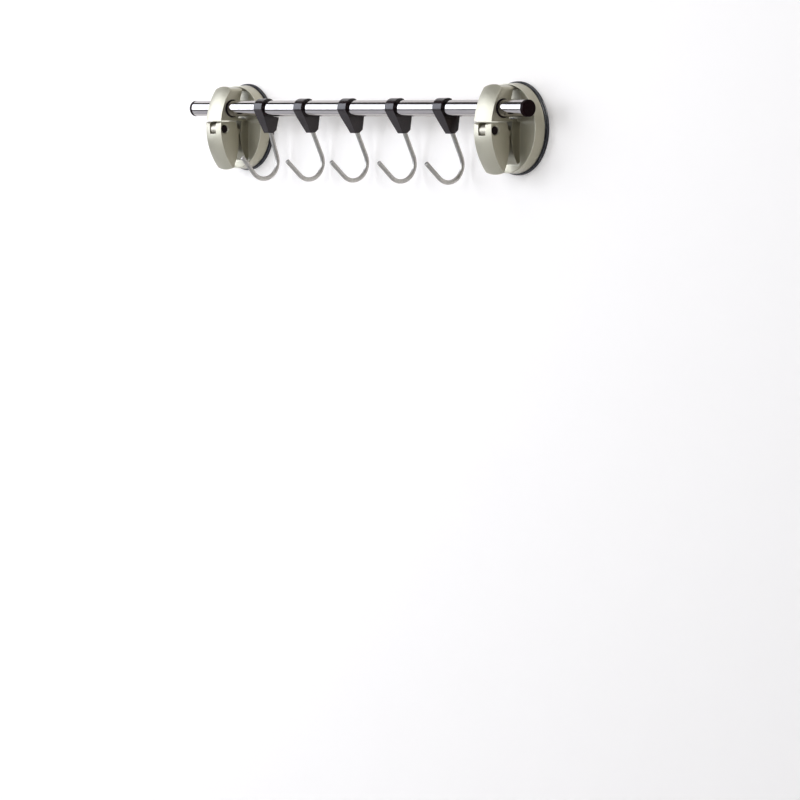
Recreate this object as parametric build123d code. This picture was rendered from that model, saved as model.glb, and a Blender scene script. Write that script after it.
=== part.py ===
from build123d import *
import os
from math import asin, cos, degrees, radians, sin, sqrt

# Suction cup hook rail, in millimetres. +X runs along the rail to the viewer's right, +Y runs into
# the wall and +Z is up. The wall is the plane Y = 0, and the origin lies on it midway between the
# two suction pads, at the height of their centres. Depth means distance in front of the wall, -Y.

# Driving dimensions: layout
MOUNT_SPACING = 340.0
RAIL_DEPTH = 23.0
RAIL_HEIGHT = 15.0
RAIL_SHIFT = -0.9
HOOK_PLACES = (-115.4, -62.7, -5.8, 53.6, 111.4)
HOOK_SWINGS = (7.0, 0.0, 0.0, 0.0, 0.0)

# Driving dimensions: rail tube and its end caps
TUBE_RADIUS = 6.35
TUBE_WALL = 1.0
TUBE_LENGTH = 414.0
CAP_FLANGE = 3.6
CAP_PLUG_LENGTH = 10.0
CAP_EDGE = 0.6

# Clearances
RUNNING_FIT = 0.05
WIRE_FIT = 0.03
FREE_GAP = 0.3
CHAMBER_SPARE = 0.15
HUB_ROOM = 1.0

# Driving dimensions: suction pad and seal ring
PAD_RADIUS = 35.0
PAD_RIM_THICKNESS = 1.8
PAD_RIM_BEVEL = 0.6
PAD_LIP_WIDTH = 5.5
PAD_SHEET = 1.7
PAD_HUB_RADIUS = 7.6
PAD_HUB_HEIGHT = 5.6
RING_RADIUS = 34.4
RING_WIDTH = 2.5
RING_THICKNESS = 1.0
RING_LIP = 0.3

# Driving dimensions: housing drum
DRUM_BACK_RADIUS = 33.8
DRUM_FRONT_RADIUS = 33.3
DRUM_DEPTH = 12.0
DRUM_LIP = 0.6
DRUM_SKIRT = 2.4
DRUM_CEILING = 4.2
DISH_DEPTH = 3.0
POCKET_HALF_WIDTH = 12.0
POCKET_FLOOR = 6.0
POCKET_BOTTOM = -25.6
POCKET_CORNER = 3.0
POCKET_LIP_ROUND = 2.4

# Driving dimensions: cam rib in the middle of the drum
RIB_HALF_WIDTH = 8.5
RIB_CREST_DEPTH = 14.2
RIB_CREST_HEIGHT = -5.4
RIB_FRONT_RADIUS = 41.5
WEB_THICKNESS = 1.9

# Driving dimensions: arm and lever share one crowned front and one width
HALF_WIDTH = 10.1
BAND_STEP = 0.35
BAND_THICKNESS = 1.4
BAND_GROOVE = 0.6
FRONT_DEPTH = 35.9
FRONT_HEIGHT = 0.2
FRONT_RADIUS = 52.4
CROWN_RADIUS = 57.0

# Driving dimensions: arm
ARM_UNDERSIDE = 5.2
ARM_TOP = 32.4
ARM_ARCH_RADIUS = 24.0
ARM_SHOULDER_ROUND = 2.4
ARM_ROOT_DEPTH = 12.3
ARM_ROOT_HEIGHT = 31.2
ARM_BACK_MIDDLE = (15.9, 20.5)
ARM_BACK_DEPTH = 17.3
ARM_BOSS_WALL = 1.8
BUSH_WALL = 0.8

# Driving dimensions: lever
LEVER_TOP = 4.5
LEVER_BOTTOM = -34.0
LEVER_ARCH_RADIUS = 31.5
LEVER_BACK_DEPTH = 16.4
LEVER_BACK_HEIGHT = -10.8
LEVER_BACK_RADIUS = 48.0
LEVER_TOP_ROUND = 3.4
LEVER_BACK_ROUND = 1.0
REAR_BEVEL = 0.7
NOTCH_WIDTH = 8.2
NOTCH_BOTTOM = -5.4
LEVER_WALL = 2.3
HOLLOW_TOP = -9.0
HOLLOW_BOTTOM = -28.0
LOBE_WIDTH = 3.8
LOBE_HEIGHT = 4.2

# Driving dimensions: hinge pin and pull stud
PIN_DEPTH = 30.6
PIN_HEIGHT = -1.5
PIN_RADIUS = 3.0
PIN_RECESS = 0.5
PIN_CHAMFER = 0.4
PIN_MOUTH = 0.9
EYE_RADIUS = 4.6
EYE_WIDTH = 7.6
STUD_RADIUS = 3.3
STUD_HEAD_RADIUS = 6.2
STUD_HEAD_THICKNESS = 1.3
STUD_TRAVEL = 2.0
PAD_SKIN = 0.7

# Driving dimensions: hook clip, measured from the rail's axis, + towards the wall
CLIP_HALF_WIDTH = 5.2
CLIP_WALL = 1.9
CLIP_TIP_ANGLE = 70.0
CLIP_TIP_WALL = 1.0
CLIP_FRONT_DROP = -1.8
CLIP_SEAT = -5.9
CLIP_BACK = 10.0
CLIP_BACK_FOOT = -16.4
CLIP_HEEL = (7.4, -18.9)
CLIP_TOE = (3.0, -19.2)
CLIP_TAPER_TOP = -7.0
CLIP_FOOT_HALF_WIDTH = 3.1

# Driving dimensions: hook wire, measured from the rail's axis, + towards the wall
WIRE_RADIUS = 1.75
WIRE_LEAN = 25.0
WIRE_BEND_RADIUS = 13.6
WIRE_BEND_CENTRE = (3.3, -42.3)
WIRE_UPTURN = 42.0
WIRE_TIP_LENGTH = 16.8
WIRE_EMBEDDED = 10.0
WIRE_ENTRY_HEIGHT = -19.0
WIRE_TIP_CHAMFER = 0.3

# Worked out from the values above
BUSH_RADIUS = TUBE_RADIUS + RUNNING_FIT + BUSH_WALL
BORE_RADIUS = BUSH_RADIUS + RUNNING_FIT
CHEEK_HALF_WIDTH = HALF_WIDTH - BAND_STEP
RIM_SEAT = PAD_RIM_THICKNESS + RING_THICKNESS
SKIRT_RADIUS = DRUM_BACK_RADIUS - DRUM_SKIRT
DISH_REACH = DRUM_FRONT_RADIUS - DRUM_LIP
FRONT_CENTRE = FRONT_DEPTH - FRONT_RADIUS
LEVER_BACK_CENTRE = LEVER_BACK_DEPTH + LEVER_BACK_RADIUS
PIN_BORE_RADIUS = PIN_RADIUS + RUNNING_FIT
WEB_TOP = ARM_UNDERSIDE + WEB_THICKNESS
CHAMBER_DEPTH = STUD_TRAVEL + CHAMBER_SPARE
FAR = 2.0 * PAD_RADIUS

# Sketch planes: side sketches are drawn as (depth, height), front sketches as (x, height) and
# plan sketches as (x, depth). A revolved section is a plan sketch turned about the Y axis.
SIDE = Plane(origin=(0, 0, 0), x_dir=(0, -1, 0), z_dir=(-1, 0, 0))
FRONT = Plane(origin=(0, 0, 0), x_dir=(1, 0, 0), z_dir=(0, -1, 0))
PLAN = Plane(origin=(0, 0, 0), x_dir=(1, 0, 0), z_dir=(0, 0, -1))


def slab(sketch, half_width):
    """A side sketch given thickness on both sides of the middle plane."""
    return extrude(SIDE * sketch, amount=half_width, both=True)


def forward(sketch, start, end):
    """A front sketch given depth from start to end in front of the wall."""
    return extrude(FRONT.offset(start) * sketch, amount=end - start)


def turned(points):
    """A closed section of straight runs in (radius, depth), turned about the pad's axis."""
    return revolve(PLAN * make_face(Polyline(*points, close=True)), axis=Axis.Y)


def spun(sketch, depth, height):
    """A section in (x, depth) turned about the level axis at that depth and height."""
    plane = Plane(origin=(0, 0, height), x_dir=(1, 0, 0), z_dir=(0, 0, -1))
    return revolve(plane * sketch, axis=Axis((0, -depth, height), (1, 0, 0)))


def block(low, high):
    """A rectangle between two corners of a sketch."""
    middle = ((low[0] + high[0]) / 2.0, (low[1] + high[1]) / 2.0)
    return Pos(*middle) * Rectangle(high[0] - low[0], high[1] - low[1])


def crown_drop(x):
    """How far the crowned front lies behind its middle line at a distance x to one side."""
    return CROWN_RADIUS - sqrt(CROWN_RADIUS**2 - x**2)


def front_barrel(inset=0.0):
    """Solid behind the common front of arm and lever, which curves downwards and across."""
    reach = 2.0 * HALF_WIDTH
    front = FRONT_DEPTH - inset
    side = front - crown_drop(reach)
    section = make_face(
        [
            ThreePointArc((-reach, side), (0, front), (reach, side)),
            Line((reach, side), (reach, FRONT_CENTRE)),
            Line((reach, FRONT_CENTRE), (-reach, FRONT_CENTRE)),
            Line((-reach, FRONT_CENTRE), (-reach, side)),
        ]
    )
    return spun(section, FRONT_CENTRE, FRONT_HEIGHT)


def cheek_cut(size, depth, axis_depth, axis_height):
    """Sloping cut along both cheeks, turned about a level axis; it runs back where size is negative."""
    outside = CHEEK_HALF_WIDTH + abs(size)
    corners = ((CHEEK_HALF_WIDTH - abs(size), depth), (outside, depth), (outside, depth + 2.0 * size))
    cut = spun(make_face(Polyline(*corners, close=True)), axis_depth, axis_height)
    return cut + mirror(cut, about=Plane.YZ)


def band_groove():
    """V-shaped groove in both cheeks, close behind the proud front band."""
    edge = FRONT_DEPTH - BAND_THICKNESS - crown_drop(CHEEK_HALF_WIDTH)
    return cheek_cut(-BAND_GROOVE, edge, FRONT_CENTRE, FRONT_HEIGHT)


def arch_top(step=0.0):
    """Front outline of the arm: straight sides under a curved top."""
    disc = Pos(0, ARM_TOP - ARM_ARCH_RADIUS) * Circle(ARM_ARCH_RADIUS + step)
    return disc & block((-CHEEK_HALF_WIDTH - step, -FAR), (CHEEK_HALF_WIDTH + step, FAR))


def arch_bottom(step=0.0):
    """Front outline of the lever: straight sides over a curved lower edge."""
    disc = Pos(0, LEVER_BOTTOM + LEVER_ARCH_RADIUS) * Circle(LEVER_ARCH_RADIUS + step)
    return disc & block((-CHEEK_HALF_WIDTH - step, -FAR), (CHEEK_HALF_WIDTH + step, FAR))


def suction_pad():
    """Soft disc, drawn as clamped: its middle is pulled off the wall, and its hub holds the stud."""
    lip_radius = PAD_RADIUS - PAD_LIP_WIDTH
    inner_rim = SKIRT_RADIUS - FREE_GAP
    head_back = CHAMBER_DEPTH + PAD_SKIN
    hub_front = PAD_HUB_HEIGHT
    sheet_front = DRUM_CEILING - FREE_GAP
    pad = turned(
        [
            (0, CHAMBER_DEPTH),
            (PAD_HUB_RADIUS, CHAMBER_DEPTH),
            (lip_radius, 0),
            (PAD_RADIUS, 0),
            (PAD_RADIUS, PAD_RIM_THICKNESS - PAD_RIM_BEVEL),
            (PAD_RADIUS - PAD_RIM_BEVEL, PAD_RIM_THICKNESS),
            (inner_rim, PAD_RIM_THICKNESS),
            (inner_rim, PAD_RIM_THICKNESS + PAD_SHEET - FREE_GAP),
            (PAD_HUB_RADIUS, sheet_front),
            (PAD_HUB_RADIUS, hub_front),
            (0, hub_front),
        ]
    )
    socket = turned(
        [
            (0, head_back),
            (STUD_HEAD_RADIUS + RUNNING_FIT, head_back),
            (STUD_HEAD_RADIUS + RUNNING_FIT, head_back + STUD_HEAD_THICKNESS + 2 * RUNNING_FIT),
            (STUD_RADIUS + RUNNING_FIT, head_back + STUD_HEAD_THICKNESS + 2 * RUNNING_FIT),
            (STUD_RADIUS + RUNNING_FIT, FAR),
            (0, FAR),
        ]
    )
    return pad - socket


def seal_ring():
    """Black ring between the pad's rim and the drum, with a lip round the drum's edge."""
    inner = RING_RADIUS - RING_WIDTH
    lip_inner = DRUM_BACK_RADIUS + RUNNING_FIT
    return turned(
        [
            (inner, PAD_RIM_THICKNESS),
            (RING_RADIUS - 0.5 * RING_LIP, PAD_RIM_THICKNESS),
            (RING_RADIUS, PAD_RIM_THICKNESS + 0.5 * RING_LIP),
            (RING_RADIUS, RIM_SEAT),
            (lip_inner + 0.5 * RING_LIP, RIM_SEAT + RING_LIP),
            (lip_inner, RIM_SEAT + RING_LIP),
            (lip_inner, RIM_SEAT),
            (inner, RIM_SEAT),
        ]
    )


def trough():
    """Shallow hollow that runs up and down across the drum's front."""
    radius = (DISH_REACH**2 + DISH_DEPTH**2) / (2.0 * DISH_DEPTH)
    section = Pos(0, DRUM_DEPTH - DISH_DEPTH + radius) * Circle(radius)
    return extrude(PLAN * section, amount=FAR, both=True)


def pocket():
    """Two recesses beside the cam rib: one below the web, one above it and up to the drum's lip."""
    lower = block((-POCKET_HALF_WIDTH, POCKET_BOTTOM), (POCKET_HALF_WIDTH, ARM_UNDERSIDE))
    lower = fillet(lower.vertices().group_by(Axis.Y)[0], POCKET_CORNER)
    upper = block((-POCKET_HALF_WIDTH, WEB_TOP), (POCKET_HALF_WIDTH, FAR))
    return forward(lower, POCKET_FLOOR, FAR) + forward(upper, POCKET_FLOOR, FAR)


def on_pocket_lip(edge):
    """Whether an edge runs between the drum's dished front and a recess, clear of the web."""
    points = (edge @ 0.0, edge @ 0.5, edge @ 1.0)
    inside = all(
        abs(point.X) < POCKET_HALF_WIDTH + FREE_GAP and point.Z > POCKET_BOTTOM - FREE_GAP
        for point in points
    )
    middle = points[1]
    at_dish = DRUM_DEPTH - DISH_DEPTH - FREE_GAP < -middle.Y < DRUM_DEPTH - FREE_GAP
    off_web = abs(middle.X) > FREE_GAP or middle.Z < 0
    return inside and at_dish and off_web


def drum():
    """Round body: a tapered wall with a crisp lip round a dished front with two recesses."""
    wall = turned(
        [
            (DISH_REACH, RIM_SEAT),
            (DRUM_BACK_RADIUS, RIM_SEAT),
            (DRUM_FRONT_RADIUS, DRUM_DEPTH),
            (DISH_REACH, DRUM_DEPTH),
        ]
    )
    middle = forward(Circle(DRUM_BACK_RADIUS), RIM_SEAT, DRUM_DEPTH) - trough() - pocket()
    middle = fillet(middle.edges().filter_by(on_pocket_lip), POCKET_LIP_ROUND)
    return wall + (middle & forward(Circle(DISH_REACH), 0, FAR))


def rib():
    """Central rib that the lever's lobes bear on, with a long convex front."""
    curve_centre = RIB_CREST_DEPTH - RIB_FRONT_RADIUS
    outline = Pos(curve_centre, RIB_CREST_HEIGHT) * Circle(RIB_FRONT_RADIUS)
    outline = outline & block((DRUM_CEILING, POCKET_BOTTOM - POCKET_CORNER), (FAR, WEB_TOP))
    return slab(outline, RIB_HALF_WIDTH)


def arm():
    """Upper half of the front: a curved hook-shaped arm with a proud front band and a bore boss."""
    top = DRUM_BACK_RADIUS
    root = (ARM_ROOT_DEPTH, ARM_ROOT_HEIGHT)
    root_low = (DRUM_CEILING, ARM_ROOT_HEIGHT - POCKET_CORNER)
    foot = (ARM_BACK_DEPTH, ARM_UNDERSIDE)
    outline = make_face(
        [
            Line(foot, (FRONT_DEPTH, ARM_UNDERSIDE)),
            Line((FRONT_DEPTH, ARM_UNDERSIDE), (FRONT_DEPTH, top)),
            Line((FRONT_DEPTH, top), (DRUM_CEILING, top)),
            Line((DRUM_CEILING, top), root_low),
            Line(root_low, root),
            ThreePointArc(root, ARM_BACK_MIDDLE, foot),
        ]
    )
    boss = Pos(RAIL_DEPTH, RAIL_HEIGHT) * Circle(BORE_RADIUS + ARM_BOSS_WALL)
    boss = boss & block((0, ARM_UNDERSIDE), (RAIL_DEPTH, FAR))
    shoulders = arch_top().vertices().group_by(Axis.Y)[-1]
    core = slab(outline + boss, CHEEK_HALF_WIDTH) & front_barrel()
    core = core & forward(fillet(shoulders, ARM_SHOULDER_ROUND), 0, FAR)
    band = slab(outline, HALF_WIDTH) & front_barrel() & forward(arch_top(BAND_STEP), 0, FAR)
    return core - band_groove() + (band - front_barrel(BAND_THICKNESS))


def web():
    """Shelf under the rail that ties the arm to the drum."""
    outline = block((DRUM_CEILING, ARM_UNDERSIDE), (ARM_BACK_DEPTH + BAND_THICKNESS, WEB_TOP))
    return slab(outline, CHEEK_HALF_WIDTH)


def housing():
    """One moulding: drum, rib, web and arm, bored for the rail and for the pull stud."""
    body = drum() + rib() + web() + arm()
    rail_bore = slab(Pos(RAIL_DEPTH, RAIL_HEIGHT) * Circle(BORE_RADIUS), FAR)
    stud_bore = forward(Circle(STUD_RADIUS + FREE_GAP), 0, RIB_CREST_DEPTH + FREE_GAP)
    back = turned(
        [
            (0, 0),
            (SKIRT_RADIUS, 0),
            (SKIRT_RADIUS, DRUM_CEILING),
            (PAD_HUB_RADIUS + FREE_GAP, DRUM_CEILING),
            (PAD_HUB_RADIUS + FREE_GAP, PAD_HUB_HEIGHT + HUB_ROOM),
            (0, PAD_HUB_HEIGHT + HUB_ROOM),
        ]
    )
    return body - rail_bore - stud_bore - back


def lever_outline():
    """Side outline of the lever: a lens with a flat top, rounded at both top corners."""
    outline = Pos(LEVER_BACK_CENTRE, LEVER_BACK_HEIGHT) * Circle(LEVER_BACK_RADIUS)
    outline = outline & Pos(FRONT_CENTRE, FRONT_HEIGHT) * Circle(FRONT_RADIUS)
    outline = outline & block((0, -FAR), (FAR, LEVER_TOP))
    outline = fillet(outline.vertices().group_by(Axis.Y)[-1].sort_by(Axis.X)[-1], LEVER_TOP_ROUND)
    corners = [v for v in outline.vertices() if abs(v.Y - LEVER_TOP) < RUNNING_FIT]
    return fillet(min(corners, key=lambda v: v.X), LEVER_BACK_ROUND)


def pin_mouth():
    """Cone-shaped mouth of the pin's bore in the lever's right cheek."""
    section = make_face(
        Polyline(
            (CHEEK_HALF_WIDTH - PIN_MOUTH, PIN_DEPTH),
            (CHEEK_HALF_WIDTH - PIN_MOUTH, PIN_DEPTH + PIN_BORE_RADIUS),
            (HALF_WIDTH, PIN_DEPTH + PIN_BORE_RADIUS + PIN_MOUTH + BAND_STEP),
            (HALF_WIDTH, PIN_DEPTH),
            close=True,
        )
    )
    return spun(section, PIN_DEPTH, PIN_HEIGHT)


def lever():
    """Lower half of the front: lens-shaped in side view, forked over the stud's eye, hollow behind."""
    outline = lever_outline()
    core = slab(outline, CHEEK_HALF_WIDTH) & forward(arch_bottom(), 0, FAR) & front_barrel()
    band = slab(outline, HALF_WIDTH) & forward(arch_bottom(BAND_STEP), 0, FAR) & front_barrel()
    corner = Pos(FRONT_DEPTH, LEVER_TOP) * Circle(LEVER_TOP_ROUND + BAND_THICKNESS)
    behind_band = front_barrel(BAND_THICKNESS) - slab(corner, FAR)
    rear_bevel = cheek_cut(REAR_BEVEL, LEVER_BACK_DEPTH, LEVER_BACK_CENTRE, LEVER_BACK_HEIGHT)
    body = core - band_groove() - rear_bevel + (band - behind_band)
    hollow = slab(block((0, HOLLOW_BOTTOM), (FAR, HOLLOW_TOP)), CHEEK_HALF_WIDTH - LEVER_WALL)
    body = body - (hollow & front_barrel(LEVER_WALL)) + lobes()
    notch = block((0, NOTCH_BOTTOM), (FAR, FAR))
    notch = notch + Pos(PIN_DEPTH, PIN_HEIGHT) * Circle(EYE_RADIUS + FREE_GAP)
    bore = slab(Pos(PIN_DEPTH, PIN_HEIGHT) * Circle(PIN_BORE_RADIUS), FAR)
    mouth = pin_mouth()
    return body - slab(notch, NOTCH_WIDTH / 2.0) - bore - mouth - mirror(mouth, about=Plane.YZ)


def lobes():
    """Cam lobes on the lever's two ears, which bear on the rib when the lever is down."""
    rib_centre = RIB_CREST_DEPTH - RIB_FRONT_RADIUS
    rib_face = rib_centre + sqrt(RIB_FRONT_RADIUS**2 - (PIN_HEIGHT - RIB_CREST_HEIGHT) ** 2)
    reach = PIN_DEPTH - rib_face - FREE_GAP
    disc = Pos(PIN_DEPTH, PIN_HEIGHT) * Circle(reach)
    part = disc & block((0, PIN_HEIGHT - LOBE_HEIGHT), (LEVER_BACK_DEPTH + LEVER_WALL, PIN_HEIGHT))
    return slab(part, NOTCH_WIDTH / 2.0 + LOBE_WIDTH)


def pull_stud():
    """Stud moulded into the pad, with a barrel eye at its front end for the hinge pin."""
    head_back = CHAMBER_DEPTH + PAD_SKIN + RUNNING_FIT
    head = forward(Circle(STUD_HEAD_RADIUS), head_back, head_back + STUD_HEAD_THICKNESS)
    shank = forward(Circle(STUD_RADIUS), head_back, PIN_DEPTH)
    eye = slab(Pos(PIN_DEPTH, PIN_HEIGHT) * Circle(EYE_RADIUS), EYE_WIDTH / 2.0)
    bore = slab(Pos(PIN_DEPTH, PIN_HEIGHT) * Circle(PIN_BORE_RADIUS), FAR)
    return head + shank + eye - bore


def hinge_pin():
    """Plain pin through the lever's ears and the stud's eye, its ends just inside the cheeks."""
    half_length = CHEEK_HALF_WIDTH - PIN_RECESS
    pin = slab(Pos(PIN_DEPTH, PIN_HEIGHT) * Circle(PIN_RADIUS), half_length)
    return chamfer(pin.edges().filter_by(GeomType.CIRCLE), PIN_CHAMFER)


def rail_bush():
    """Black sleeve that lines the arm's bore and shows as a thin ring round the tube."""
    ring = Circle(BUSH_RADIUS) - Circle(TUBE_RADIUS + RUNNING_FIT)
    return slab(Pos(RAIL_DEPTH, RAIL_HEIGHT) * ring, HALF_WIDTH)


def rail_tube():
    """Round tube, open at both ends."""
    ring = Circle(TUBE_RADIUS) - Circle(TUBE_RADIUS - TUBE_WALL)
    return Pos(RAIL_SHIFT, 0, 0) * slab(Pos(RAIL_DEPTH, RAIL_HEIGHT) * ring, TUBE_LENGTH / 2.0)


def end_cap(side):
    """Plug with a flange that covers the tube's end; side is -1 for left and 1 for right."""
    tube_end = SIDE.offset(TUBE_LENGTH / 2.0) * Pos(RAIL_DEPTH, RAIL_HEIGHT)
    flange = extrude(tube_end * Circle(TUBE_RADIUS), amount=CAP_FLANGE)
    flange = chamfer(flange.edges().group_by(Axis.X)[0], CAP_EDGE)
    plug_radius = TUBE_RADIUS - TUBE_WALL - RUNNING_FIT
    cap = flange + extrude(tube_end * Circle(plug_radius), amount=-CAP_PLUG_LENGTH)
    if side > 0:
        cap = mirror(cap, about=Plane.YZ)
    return Pos(RAIL_SHIFT, 0, 0) * cap


def from_rail(point):
    """A point given from the rail's axis, + towards the wall, as (depth, height)."""
    return (RAIL_DEPTH - point[0], RAIL_HEIGHT + point[1])


def round_point(radius, angle):
    """A point round the rail's axis; 0 degrees points to the wall and 90 degrees up."""
    return from_rail((radius * cos(radians(angle)), radius * sin(radians(angle))))


def wire_points():
    """Top end, start and end of the bend, and tip of the hook wire's centre line."""
    lean = radians(WIRE_LEAN)
    centre_out, centre_up = WIRE_BEND_CENTRE
    bend_start = (centre_out + WIRE_BEND_RADIUS * cos(lean), centre_up + WIRE_BEND_RADIUS * sin(lean))
    straight = (WIRE_ENTRY_HEIGHT - bend_start[1]) / cos(lean) + WIRE_EMBEDDED
    top = (bend_start[0] - straight * sin(lean), bend_start[1] + straight * cos(lean))
    turn = radians(WIRE_UPTURN)
    bend_end = (centre_out - WIRE_BEND_RADIUS * sin(turn), centre_up - WIRE_BEND_RADIUS * cos(turn))
    tip = (bend_end[0] - WIRE_TIP_LENGTH * cos(turn), bend_end[1] + WIRE_TIP_LENGTH * sin(turn))
    return top, bend_start, bend_end, tip


def hook_wire():
    """Round wire bent in one plane: a leaning shank, a wide bend and a straight upturned end."""
    top, bend_start, bend_end, tip = wire_points()
    centre_out, centre_up = WIRE_BEND_CENTRE
    bend_middle = (centre_out, centre_up - WIRE_BEND_RADIUS)
    path = (
        Line(from_rail(top), from_rail(bend_start))
        + ThreePointArc(from_rail(bend_start), from_rail(bend_middle), from_rail(bend_end))
        + Line(from_rail(bend_end), from_rail(tip))
    )
    path = SIDE * path
    section = Plane(origin=path @ 0, z_dir=path % 0) * Circle(WIRE_RADIUS)
    wire = sweep(section, path=path)
    tip_face = wire.faces().filter_by(GeomType.PLANE).sort_by_distance(path @ 1)[0]
    return chamfer(tip_face.edges(), WIRE_TIP_CHAMFER)


def wire_socket():
    """The hole in the clip's tail that the wire is pressed into."""
    top, bend_start, _, _ = wire_points()
    line = SIDE * Line(from_rail(top), from_rail(bend_start))
    section = Plane(origin=line @ 0, z_dir=line % 0) * Circle(WIRE_RADIUS + WIRE_FIT)
    return extrude(section, amount=line.length)


def hook_clip():
    """Springy C that snaps over the rail from the front, with a wedge-shaped tail for the wire."""
    inner = TUBE_RADIUS + RUNNING_FIT
    outer = inner + CLIP_WALL
    tip_outer = inner + CLIP_TIP_WALL
    seat_angle = -degrees(asin(-CLIP_SEAT / inner))
    front_angle = 180.0 + degrees(asin(-CLIP_FRONT_DROP / outer))
    middle_angle = (CLIP_TIP_ANGLE + front_angle) / 2.0
    outline = make_face(
        [
            ThreePointArc(
                round_point(inner, CLIP_TIP_ANGLE),
                round_point(inner, middle_angle),
                round_point(inner, seat_angle),
            ),
            Line(round_point(inner, seat_angle), from_rail((CLIP_BACK, CLIP_SEAT))),
            Line(from_rail((CLIP_BACK, CLIP_SEAT)), from_rail((CLIP_BACK, CLIP_BACK_FOOT))),
            Line(from_rail((CLIP_BACK, CLIP_BACK_FOOT)), from_rail(CLIP_HEEL)),
            Line(from_rail(CLIP_HEEL), from_rail(CLIP_TOE)),
            Line(from_rail(CLIP_TOE), round_point(outer, front_angle)),
            ThreePointArc(
                round_point(outer, front_angle),
                round_point(outer, middle_angle),
                round_point(tip_outer, CLIP_TIP_ANGLE),
            ),
            Line(round_point(tip_outer, CLIP_TIP_ANGLE), round_point(inner, CLIP_TIP_ANGLE)),
        ]
    )
    taper_top = RAIL_HEIGHT + CLIP_TAPER_TOP
    foot = RAIL_HEIGHT + min(CLIP_TOE[1], CLIP_HEEL[1])
    front_outline = make_face(
        Polyline(
            (-CLIP_HALF_WIDTH, FAR),
            (-CLIP_HALF_WIDTH, taper_top),
            (-CLIP_FOOT_HALF_WIDTH, foot),
            (CLIP_FOOT_HALF_WIDTH, foot),
            (CLIP_HALF_WIDTH, taper_top),
            (CLIP_HALF_WIDTH, FAR),
            close=True,
        )
    )
    return (slab(outline, CLIP_HALF_WIDTH) & forward(front_outline, 0, FAR)) - wire_socket()


MOUNT_PIECES = {
    "suction_pad": suction_pad,
    "seal_ring": seal_ring,
    "housing": housing,
    "lever": lever,
    "pull_stud": pull_stud,
    "hinge_pin": hinge_pin,
    "rail_bush": rail_bush,
}
HOOK_PIECES = {"clip": hook_clip, "wire": hook_wire}
SIDES = {"left": -1.0, "right": 1.0}


def hung(solid, place, swing):
    """A hook piece at its place along the rail, its lower end swung out from the wall."""
    about_rail = Pos(place, -RAIL_DEPTH, RAIL_HEIGHT) * Rot(-swing, 0, 0)
    return about_rail * Pos(0, RAIL_DEPTH, -RAIL_HEIGHT) * solid


def build():
    """Every piece of the rail by node name."""
    nodes = {"rail_tube": rail_tube()}
    for side, sign in SIDES.items():
        nodes[f"{side}_end_cap"] = end_cap(sign)
    for piece, make in MOUNT_PIECES.items():
        solid = make()
        for side, sign in SIDES.items():
            nodes[f"{side}_{piece}"] = Pos(sign * MOUNT_SPACING / 2.0, 0, 0) * solid
    for piece, make in HOOK_PIECES.items():
        solid = make()
        for number, (place, swing) in enumerate(zip(HOOK_PLACES, HOOK_SWINGS), start=1):
            nodes[f"hook_{number}_{piece}"] = hung(solid, place, swing)
    return nodes


os.makedirs("parts", exist_ok=True)
for name, shape in build().items():
    export_step(shape, f"parts/{name}.step")
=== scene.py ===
import math

import bpy
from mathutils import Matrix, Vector


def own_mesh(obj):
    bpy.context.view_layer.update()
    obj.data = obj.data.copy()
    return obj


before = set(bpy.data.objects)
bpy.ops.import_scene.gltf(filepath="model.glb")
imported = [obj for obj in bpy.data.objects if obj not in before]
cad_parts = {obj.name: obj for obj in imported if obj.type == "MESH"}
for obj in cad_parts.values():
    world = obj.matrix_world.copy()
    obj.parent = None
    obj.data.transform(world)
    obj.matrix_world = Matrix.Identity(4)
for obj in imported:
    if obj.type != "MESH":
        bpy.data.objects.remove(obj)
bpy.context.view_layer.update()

# Camera: a long lens at rail height, to the right of the rail and looking slightly down.
CAMERA_AZIMUTH = 51.5
CAMERA_ELEVATION = 4.2
CAMERA_DISTANCE = 3.045
CAMERA_TARGET = (0.0280, 0.0, -0.2112)
CAMERA_LENS = 176.2
CAMERA_REACH = 100.0
SENSOR_WIDTH = 36.0

# Stage: a pale wall just behind the pads and a pale floor well below the rail, in metres.
WALL_GAP = 0.0004
WALL_HALF_WIDTH = 2.4
WALL_TOP = 1.6
FLOOR_HEIGHT = -0.62
FLOOR_DEPTH = 2.6
WALL_SHADE = (0.88, 0.842, 0.785)
FLOOR_SHADE = (0.50, 0.50, 0.502)
STAGE_ROUGHNESS = 0.7

# Glow of the stage as the camera sees it, and as it is mirrored in the part.
WALL_LIFT = 0.17
WALL_MIRRORED_LIFT = 0.04
FLOOR_LIFT = 0.62
FLOOR_MIRRORED_LIFT = 0.05

# A ray shorter than this, in metres, passes through the wall, so the pads' backs aren't in the dark.
PAD_BACK_REACH = 0.0065

# Lamps: tints of the two front ones, and the point that every lamp faces.
KEY_TINT = (0.940, 0.985, 1.100)
FRONT_TINT = (0.955, 0.985, 1.075)
PLAIN_TINT = (1.0, 1.0, 1.0)
LAMP_TARGET = (0.0, 0.0, -0.02)

# World: dim light from all round, and the backdrop that the camera sees instead of it.
ROOM_GLOW = (0.09, 0.09, 0.095)
BACKDROP = (0.92, 0.92, 0.925)

# Finishes: the darker and the lighter shade of each, and the colour of the painted highlight along the
# nickel paint's edges.
NICKEL_SHADES = ((0.390, 0.366, 0.268), (0.495, 0.466, 0.350))
NICKEL_EDGE_HIGHLIGHT = (0.78, 0.745, 0.63)
TUBE_SHADES = ((0.45, 0.42, 0.41), (0.54, 0.51, 0.50))
WIRE_SHADES = ((0.40, 0.385, 0.355), (0.57, 0.55, 0.51))
BLACK_SHADES = ((0.0065, 0.0008, 0.0016), (0.0100, 0.0020, 0.0030))
SEAL_SHADES = ((0.010, 0.010, 0.012), (0.024, 0.024, 0.027))
PAD_SHADES = ((0.062, 0.063, 0.068), (0.086, 0.087, 0.094))
STUD_SHADES = ((0.38, 0.352, 0.283), (0.50, 0.474, 0.392))

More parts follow.
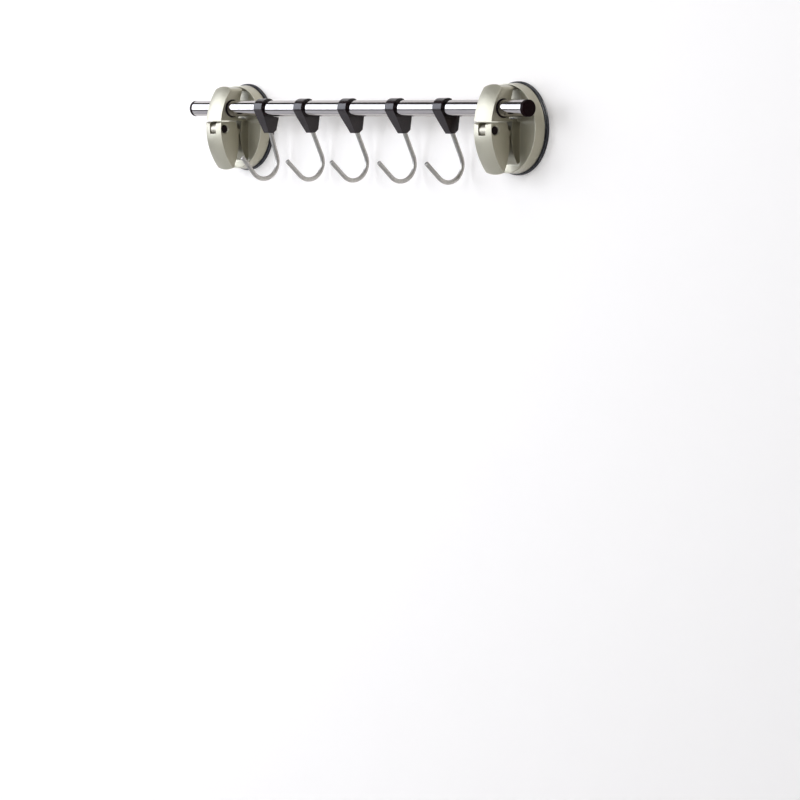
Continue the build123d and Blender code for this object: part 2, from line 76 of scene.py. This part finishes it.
# Scales of the noise that draws surface detail, per metre.
FLAKE_SCALE = 9000.0
ORANGE_PEEL_SCALE = 900.0
SMUDGE_SCALE = 45.0
BUFFING_SCALE = 260.0
DRAWING_SCALE = 2080.0
CASTING_SCALE = 1300.0
GRAIN_SCALE = 5200.0
GLOSS_SCALE = 135.0
WIRE_PATCH_SCALE = 180.0
BLOOM_SCALE = 270.0
CLOUD_SCALE = 90.0

# Stretch of marks that run one way: the tube lies along X, and the hooks are bent in the YZ plane.
BUFFING_STRETCH = (0.06, 9.0, 9.0)
TUBE_SMUDGE_STRETCH = (0.5, 1.0, 1.0)
DRAWING_STRETCH = (1.0, 0.25, 0.25)

# Depths of surface relief, in metres.
FLAKE_DEPTH = 0.000006
ORANGE_PEEL_DEPTH = 0.00002
BUFFING_DEPTH = 0.000004
DRAWING_DEPTH = 0.00001
CASTING_DEPTH = 0.00001
GRAIN_DEPTH = 0.00001
FINE_GRAIN_DEPTH = 0.000006
BLOOM_DEPTH = 0.00002
CLOUD_DEPTH = 0.00003

# Edges: how far their shading is rounded, and the reach of the painted highlight line along them, in
# metres.
PAINT_EDGE = 0.00015
PLASTIC_EDGE = 0.0003
EDGE_HIGHLIGHT_WIDTH = 0.00035
EDGE_SAMPLES = 6

# A painted edge highlight: how squarely rounded and flat normals agree where it is at full strength, and
# where it is gone.
HIGHLIGHT_AGREEMENT = 0.80
PLAIN_AGREEMENT = 0.99


def sockets(node, **values):
    """Sets inputs of a node; an underscore in a name stands for a space."""
    for name, value in values.items():
        node.inputs[name.replace("_", " ")].default_value = value
    return node


class Surface:
    """A node material under construction, with its Principled shader."""

    def __init__(self, name):
        self.material = bpy.data.materials.new(name)
        self.material.use_nodes = True
        self.tree = self.material.node_tree
        self.shader = self.tree.nodes["Principled BSDF"]
        self.place = self.add("ShaderNodeTexCoord").outputs["Object"]

    def add(self, kind, **settings):
        """A new node with its settings."""
        node = self.tree.nodes.new(kind)
        for name, value in settings.items():
            setattr(node, name, value)
        return node

    def link(self, output, target):
        self.tree.links.new(output, target)

    def drive(self, **outputs):
        """Links outputs to inputs of the shader; an underscore in a name stands for a space."""
        for name, output in outputs.items():
            self.link(output, self.shader.inputs[name.replace("_", " ")])

    def stretched(self, stretch):
        """Object coordinates scaled unevenly, for marks that run one way."""
        mapping = self.add("ShaderNodeMapping")
        mapping.inputs["Scale"].default_value = stretch
        self.link(self.place, mapping.inputs["Vector"])
        return mapping.outputs["Vector"]

    def noise(self, scale, detail=3.0, roughness=0.5, stretch=None):
        """Noise fixed to the piece, as a value around a half."""
        node = sockets(self.add("ShaderNodeTexNoise"), Scale=scale, Detail=detail, Roughness=roughness)
        self.link(self.stretched(stretch) if stretch else self.place, node.inputs["Vector"])
        return node.outputs["Fac"]

    def spread(self, source, low, high, start=0.35, end=0.65):
        """Maps a value from start..end to low..high, clamped."""
        node = self.add("ShaderNodeMapRange", clamp=True)
        self.link(source, node.inputs["Value"])
        for name, value in (("From Min", start), ("From Max", end), ("To Min", low), ("To Max", high)):
            node.inputs[name].default_value = value
        return node.outputs["Result"]

    def tone(self, pattern, shades):
        """Colour that runs from the first shade to the second with a noise pattern."""
        mix = self.add("ShaderNodeMix", data_type="RGBA")
        self.link(self.spread(pattern, 0.0, 1.0), mix.inputs["Factor"])
        for name, shade in zip("AB", shades):
            mix.inputs[name].default_value = (*shade, 1.0)
        return mix.outputs["Result"]

    def bump(self, height, distance, strength, below=None):
        """Shading normal with relief, over another normal where one is given."""
        node = sockets(self.add("ShaderNodeBump"), Strength=strength, Distance=distance)
        self.link(height, node.inputs["Height"])
        if below is not None:
            self.link(below, node.inputs["Normal"])
        return node.outputs["Normal"]

    def soft_edges(self, radius):
        """Shading normal that rounds sharp edges, as on a moulded or tumbled part."""
        node = sockets(self.add("ShaderNodeBevel", samples=EDGE_SAMPLES), Radius=radius)
        return node.outputs["Normal"]

    def painted_edge_highlight(self, colour, highlight):
        """The colour, lightened towards a painted highlight where the rounded normal turns away from the
        face's.
        """
        turn = self.add("ShaderNodeVectorMath", operation="DOT_PRODUCT")
        self.link(self.soft_edges(EDGE_HIGHLIGHT_WIDTH), turn.inputs[0])
        self.link(self.add("ShaderNodeNewGeometry").outputs["Normal"], turn.inputs[1])
        highlit = self.spread(turn.outputs["Value"], 1.0, 0.0, HIGHLIGHT_AGREEMENT, PLAIN_AGREEMENT)
        mix = self.add("ShaderNodeMix", data_type="RGBA")
        self.link(highlit, mix.inputs["Factor"])
        self.link(colour, mix.inputs["A"])
        mix.inputs["B"].default_value = (*highlight, 1.0)
        return mix.outputs["Result"]


def satin_nickel():
    """Metallic paint on moulded plastic: fine flakes, faint orange peel and handled smudges."""
    surface = Surface("satin_nickel")
    flakes = surface.noise(FLAKE_SCALE, detail=1.0)
    smudges = surface.noise(SMUDGE_SCALE, detail=4.0)
    peel = surface.noise(ORANGE_PEEL_SCALE, detail=2.0)
    peeled = surface.bump(peel, ORANGE_PEEL_DEPTH, strength=0.35, below=surface.soft_edges(PAINT_EDGE))
    surface.drive(
        # Base colour: flakes in the paint, with a painted highlight as a light line along the edges.
        Base_Color=surface.painted_edge_highlight(surface.tone(flakes, NICKEL_SHADES), NICKEL_EDGE_HIGHLIGHT),
        Roughness=surface.spread(smudges, 0.36, 0.45),
        Normal=surface.bump(flakes, FLAKE_DEPTH, strength=0.5, below=peeled),
    )
    sockets(surface.shader, Metallic=0.68, Coat_Weight=0.9, Coat_Roughness=0.32)
    return surface.material


def polished_tube():
    """Mirror-finished steel tube with faint buffing lines along it."""
    surface = Surface("polished_tube")
    lines = surface.noise(BUFFING_SCALE, detail=5.0, roughness=0.7, stretch=BUFFING_STRETCH)
    smudges = surface.noise(SMUDGE_SCALE, detail=4.0, stretch=TUBE_SMUDGE_STRETCH)
    surface.drive(
        Base_Color=surface.tone(lines, TUBE_SHADES),
        Roughness=surface.spread(smudges, 0.07, 0.13),
        Normal=surface.bump(lines, BUFFING_DEPTH, strength=0.6),
    )
    sockets(surface.shader, Metallic=1.0)
    return surface.material


def hook_steel():
    """Drawn steel wire: satin, with fine marks that run in the plane of its bend."""
    surface = Surface("hook_steel")
    marks = surface.noise(DRAWING_SCALE, detail=4.0, roughness=0.7, stretch=DRAWING_STRETCH)
    patches = surface.noise(WIRE_PATCH_SCALE, detail=3.0)
    surface.drive(
        Base_Color=surface.tone(marks, WIRE_SHADES),
        Roughness=surface.spread(patches, 0.33, 0.42),
        Normal=surface.bump(marks, DRAWING_DEPTH, strength=0.5),
    )
    sockets(surface.shader, Metallic=1.0)
    return surface.material


def black_plastic(name, roughness, grain_depth, shine):
    """Moulded black plastic with a fine spark-eroded grain and slightly uneven gloss."""
    surface = Surface(name)
    grain = surface.noise(GRAIN_SCALE, detail=2.0)
    patches = surface.noise(GLOSS_SCALE, detail=4.0)
    surface.drive(
        Base_Color=surface.tone(patches, BLACK_SHADES),
        Roughness=surface.spread(patches, *roughness),
        Normal=surface.bump(grain, grain_depth, strength=0.5, below=surface.soft_edges(PLASTIC_EDGE)),
    )
    sockets(surface.shader, Specular_IOR_Level=shine)
    return surface.material


def seal_rubber():
    """Black seal ring: satin rubber with a little bloom."""
    surface = Surface("seal_rubber")
    bloom = surface.noise(BLOOM_SCALE, detail=5.0)
    surface.drive(
        Base_Color=surface.tone(bloom, SEAL_SHADES),
        Roughness=surface.spread(bloom, 0.16, 0.30),
        Normal=surface.bump(bloom, BLOOM_DEPTH, strength=0.3),
    )
    return surface.material


def pad_plastic():
    """Soft dark grey suction pad: glossy, slightly cloudy, and letting a little light through."""
    surface = Surface("pad_plastic")
    cloud = surface.noise(CLOUD_SCALE, detail=4.0)
    surface.drive(
        Base_Color=surface.tone(cloud, PAD_SHADES),
        Roughness=surface.spread(cloud, 0.08, 0.15),
        Normal=surface.bump(cloud, CLOUD_DEPTH, strength=0.3),
    )
    sockets(surface.shader, Transmission_Weight=0.15, IOR=1.46)
    return surface.material


def stud_metal():
    """Cast eye of the pull stud: satin metal, close to the paint in tone."""
    surface = Surface("stud_metal")
    marks = surface.noise(CASTING_SCALE, detail=4.0)
    surface.drive(
        Base_Color=surface.tone(marks, STUD_SHADES),
        Roughness=surface.spread(marks, 0.38, 0.50),
        Normal=surface.bump(marks, CASTING_DEPTH, strength=0.4),
    )
    sockets(surface.shader, Metallic=0.9)
    return surface.material


def dress_nodes():
    """Gives each carried-over node the finish that its name's ending calls for."""
    nickel = satin_nickel()
    finishes = {
        "rail_tube": polished_tube(),
        "end_cap": black_plastic("cap_plastic", (0.42, 0.55), GRAIN_DEPTH, shine=0.05),
        "suction_pad": pad_plastic(),
        "seal_ring": seal_rubber(),
        "housing": nickel,
        "lever": nickel,
        "pull_stud": stud_metal(),
        "hinge_pin": black_plastic("pin_black", (0.30, 0.42), FINE_GRAIN_DEPTH, shine=0.15),
        "rail_bush": black_plastic("bush_plastic", (0.45, 0.55), GRAIN_DEPTH, shine=0.20),
        "clip": black_plastic("clip_plastic", (0.18, 0.26), FINE_GRAIN_DEPTH, shine=0.45),
        "wire": hook_steel(),
    }
    for name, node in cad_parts.items():
        finish = next(material for ending, material in finishes.items() if name.endswith(ending))
        node.data.materials.clear()
        node.data.materials.append(finish)


def flatten_pads():
    for side in ("left", "right"):
        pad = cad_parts[f"{side}_suction_pad"]
        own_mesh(pad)


def plain_sheet(name, corners, material):
    """One flat stage sheet from its four corners, which run anticlockwise as seen from its front."""
    mesh = bpy.data.meshes.new(name)
    mesh.from_pydata(corners, [], [(0, 1, 2, 3)])
    mesh.materials.append(material)
    sheet = bpy.data.objects.new(name, mesh)
    bpy.context.scene.collection.objects.link(sheet)


def stage_paint(name, shade, seen_lift, mirrored_lift):
    """Pale paint that looks paler still to the camera and in reflections, and lights nothing more."""
    surface = Surface(name)
    sockets(surface.shader, Base_Color=(*shade, 1.0), Roughness=STAGE_ROUGHNESS)
    sockets(surface.shader, Emission_Color=(1.0, 1.0, 1.0, 1.0))
    path = surface.add("ShaderNodeLightPath").outputs
    lift = surface.add("ShaderNodeMath", operation="ADD")
    surface.link(surface.spread(path["Is Camera Ray"], 0.0, seen_lift, 0.0, 1.0), lift.inputs[0])
    surface.link(surface.spread(path["Is Glossy Ray"], 0.0, mirrored_lift, 0.0, 1.0), lift.inputs[1])
    surface.drive(Emission_Strength=lift.outputs["Value"])
    return surface


def wall_paint():
    """Wall paint, clear from behind and at the pads' own backs, so that these can be seen and lit."""
    surface = stage_paint("wall_paint", WALL_SHADE, WALL_LIFT, WALL_MIRRORED_LIFT)
    near = surface.add("ShaderNodeMath", operation="LESS_THAN")
    surface.link(surface.add("ShaderNodeLightPath").outputs["Ray Length"], near.inputs[0])
    near.inputs[1].default_value = PAD_BACK_REACH
    either = surface.add("ShaderNodeMath", operation="MAXIMUM")
    surface.link(surface.add("ShaderNodeNewGeometry").outputs["Backfacing"], either.inputs[0])
    surface.link(near.outputs["Value"], either.inputs[1])
    mix = surface.add("ShaderNodeMixShader")
    surface.link(either.outputs["Value"], mix.inputs[0])
    surface.link(surface.shader.outputs["BSDF"], mix.inputs[1])
    surface.link(surface.add("ShaderNodeBsdfTransparent").outputs["BSDF"], mix.inputs[2])
    surface.link(mix.outputs["Shader"], surface.tree.nodes["Material Output"].inputs["Surface"])
    return surface


def build_stage():
    """The wall behind the pads and the floor, which meet in one line."""
    left, right = -WALL_HALF_WIDTH, WALL_HALF_WIDTH
    wall = [
        (left, WALL_GAP, FLOOR_HEIGHT),
        (right, WALL_GAP, FLOOR_HEIGHT),
        (right, WALL_GAP, WALL_TOP),
        (left, WALL_GAP, WALL_TOP),
    ]
    floor = [
        (left, -FLOOR_DEPTH, FLOOR_HEIGHT),
        (right, -FLOOR_DEPTH, FLOOR_HEIGHT),
        (right, WALL_GAP, FLOOR_HEIGHT),
        (left, WALL_GAP, FLOOR_HEIGHT),
    ]
    floor_paint = stage_paint("floor_paint", FLOOR_SHADE, FLOOR_LIFT, FLOOR_MIRRORED_LIFT)
    plain_sheet("wall", wall, wall_paint().material)
    plain_sheet("floor", floor, floor_paint.material)


def direction(azimuth, elevation):
    """Unit vector from the rail; azimuth 0 is straight out from the wall and 90 to the right."""
    turn = math.radians(azimuth)
    rise = math.radians(elevation)
    return Vector((math.sin(turn) * math.cos(rise), -math.cos(turn) * math.cos(rise), math.sin(rise)))


def aim(item, target):
    """Turns a lamp or camera to face a point."""
    item.rotation_mode = "QUATERNION"
    item.rotation_quaternion = (target - item.location).to_track_quat("-Z", "Y")


def softbox(name, azimuth, elevation, distance, size, power, tint=PLAIN_TINT):
    """Rectangular area lamp that faces the rail; its size is a width and a height in metres."""
    lamp = bpy.data.lights.new(name, "AREA")
    lamp.shape = "RECTANGLE"
    lamp.size, lamp.size_y = size
    lamp.energy = power
    lamp.color = tint
    item = bpy.data.objects.new(name, lamp)
    bpy.context.scene.collection.objects.link(item)
    target = Vector(LAMP_TARGET)
    item.location = target + direction(azimuth, elevation) * distance
    aim(item, target)


def hang_lamps():
    """A broad key from the left, weaker lamps in front, above and right, and one behind for the backs."""
    softbox("key_left", -45.0, 12.0, distance=1.8, size=(2.0, 1.3), power=30.5, tint=KEY_TINT)
    softbox("front_soft", 14.0, 16.0, distance=2.0, size=(1.1, 1.0), power=11.5, tint=FRONT_TINT)
    softbox("top_soft", 0.0, 66.0, distance=1.6, size=(1.4, 0.8), power=4.5)
    softbox("right_fill", 45.0, 20.0, distance=2.2, size=(1.0, 1.0), power=1.4)
    softbox("back_soft", 160.0, 25.0, distance=1.6, size=(1.6, 1.2), power=20.0)


def surround():
    """Dim even light from all round, with a pale backdrop that only the camera sees."""
    world = bpy.data.worlds.new("studio")
    bpy.context.scene.world = world
    world.use_nodes = True
    tree = world.node_tree
    glow = tree.nodes["Background"]
    seen = tree.nodes.new("ShaderNodeBackground")
    for node, shade in ((glow, ROOM_GLOW), (seen, BACKDROP)):
        sockets(node, Color=(*shade, 1.0), Strength=1.0)
    path = tree.nodes.new("ShaderNodeLightPath")
    mix = tree.nodes.new("ShaderNodeMixShader")
    tree.links.new(path.outputs["Is Camera Ray"], mix.inputs[0])
    tree.links.new(glow.outputs["Background"], mix.inputs[1])
    tree.links.new(seen.outputs["Background"], mix.inputs[2])
    tree.links.new(mix.outputs["Shader"], tree.nodes["World Output"].inputs["Surface"])


def place_camera():
    """The photo's own view."""
    lens = bpy.data.cameras.new("camera")
    lens.lens = CAMERA_LENS
    lens.sensor_width = SENSOR_WIDTH
    lens.clip_end = CAMERA_REACH
    item = bpy.data.objects.new("camera", lens)
    bpy.context.scene.collection.objects.link(item)
    target = Vector(CAMERA_TARGET)
    item.location = target + direction(CAMERA_AZIMUTH, CAMERA_ELEVATION) * CAMERA_DISTANCE
    aim(item, target)
    bpy.context.scene.camera = item


dress_nodes()
flatten_pads()
build_stage()
hang_lamps()
surround()
place_camera()
bpy.context.scene.view_settings.view_transform = "Standard"
